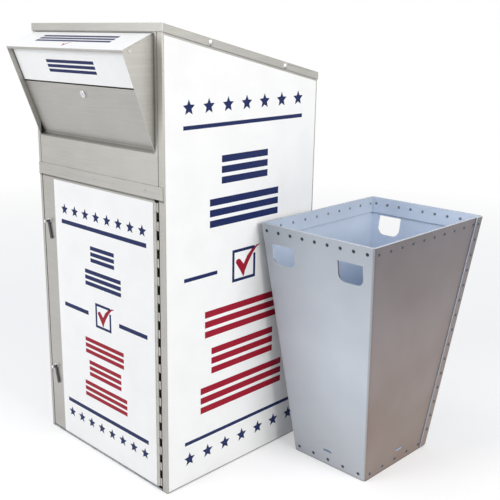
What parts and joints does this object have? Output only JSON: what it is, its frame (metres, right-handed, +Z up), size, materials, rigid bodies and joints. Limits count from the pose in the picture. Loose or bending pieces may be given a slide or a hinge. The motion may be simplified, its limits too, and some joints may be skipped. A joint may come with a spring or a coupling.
{
  "type": "ballot box",
  "caption": "Floor-standing steel drop box with a sloping roof, a hooded push-in flap, a latched collection door, and its loose tapered plastic bin.",
  "frame": {"origin": "middle of the cabinet's footprint on the floor, under its base pan", "axes": "+Z up; +X to the right along the cabinet's front, towards the bin; +Y from the front to the back"},
  "size_m": [1.0169, 1.0102, 1.3107],
  "materials": {
    "cabinet_steel": "brushed stainless sheet, satin, level grain",
    "zinc_sheet": "zinc-plated sheet, dull",
    "hinge_steel": "rolled stainless hinge strip, satin",
    "bright_steel": "bright zinc on small hardware",
    "lock_chrome": "polished plate on die-cast zinc",
    "handle_black": "dark coat on die-cast zinc, satin",
    "printed_film": "white vinyl film with printed stars, rules, bars and a tick box",
    "bush_nylon": "natural nylon",
    "foam_gasket": "closed-cell foam strip",
    "bin_plastic": "fluted polypropylene sheet, satin",
    "bin_rivet_plastic": "moulded rivet heads, satin"
  },
  "bodies": {
    "cabinet": {"base_pan": "zinc_sheet", "left_side_panel": "cabinet_steel", "right_side_panel": "cabinet_steel", "back_panel": "cabinet_steel", "upper_front_panel": "cabinet_steel", "roof_cap": "cabinet_steel", "roof_bolts": "bright_steel", "roof_nuts": "bright_steel", "drip_rail": "cabinet_steel", "drip_rail_rivets": "bright_steel", "hood_top_plate": "cabinet_steel", "hood_left_cheek": "cabinet_steel", "hood_right_cheek": "cabinet_steel", "hood_lower_panel": "cabinet_steel", "flap_bushes": "bush_nylon", "lock_body": "lock_chrome", "lock_nut": "bright_steel", "chute": "zinc_sheet", "baffle": "zinc_sheet", "door_gasket": "foam_gasket", "frame_hinge_leaf": "hinge_steel", "hinge_pin": "bright_steel", "left_side_film": "printed_film", "right_side_film": "printed_film", "hood_film": "printed_film"},
    "door": {"door_panel": "cabinet_steel", "door_stiffeners": "zinc_sheet", "door_hinge_leaf": "hinge_steel", "door_film": "printed_film", "upper_latch_body": "lock_chrome", "upper_latch_nut": "bright_steel", "lower_latch_body": "lock_chrome", "lower_latch_nut": "bright_steel"},
    "upper_latch": {"upper_latch_handle": "handle_black", "upper_latch_cap": "lock_chrome", "upper_latch_cam": "bright_steel", "upper_latch_screw": "bright_steel"},
    "lower_latch": {"lower_latch_handle": "handle_black", "lower_latch_cap": "lock_chrome", "lower_latch_cam": "bright_steel", "lower_latch_screw": "bright_steel"},
    "flap": {"flap": "cabinet_steel", "flap_rod": "bright_steel", "flap_film": "printed_film"},
    "flap_lock": {"lock_plug": "lock_chrome", "lock_cam": "bright_steel", "lock_screw": "bright_steel"},
    "bin": {"bin_front_wall": "bin_plastic", "bin_back_wall": "bin_plastic", "bin_left_wall": "bin_plastic", "bin_right_wall": "bin_plastic", "bin_hem": "bin_plastic", "bin_base": "bin_plastic", "bin_seam_flap": "bin_plastic", "bin_rim_rivets": "bin_rivet_plastic", "bin_base_rivets": "bin_rivet_plastic", "bin_seam_rivets": "bin_rivet_plastic"}
  },
  "joints": [
    {"name": "door_swing", "type": "hinge", "parent": "cabinet", "child": "door", "pos_m": [0.2604, -0.3058, 0.0073], "axis": [0, 0, 1], "range_deg": [0, 165]},
    {"name": "upper_latch_turn", "type": "hinge", "parent": "door", "child": "upper_latch", "pos_m": [-0.2555, -0.2785, 0.7156], "axis": [0, 1, 0], "range_deg": [0, 90]},
    {"name": "lower_latch_turn", "type": "hinge", "parent": "door", "child": "lower_latch", "pos_m": [-0.2555, -0.2785, 0.22603], "axis": [0, 1, 0], "range_deg": [0, 90]},
    {"name": "flap_swing", "type": "hinge", "parent": "cabinet", "child": "flap", "pos_m": [-0.00985, -0.3817, 1.24426], "axis": [1, 0, 0], "range_deg": [0, 40]},
    {"name": "flap_lock_turn", "type": "hinge", "parent": "cabinet", "child": "flap_lock", "pos_m": [0.00315, -0.32441, 1.12865], "axis": [0, -0.9343, -0.3566], "range_deg": [0, 90]},
    {"name": "bin_lift", "type": "slide", "parent": "cabinet", "child": "bin", "axis": [0, 0, 1], "range_m": [0, 0.35]}
  ]
}
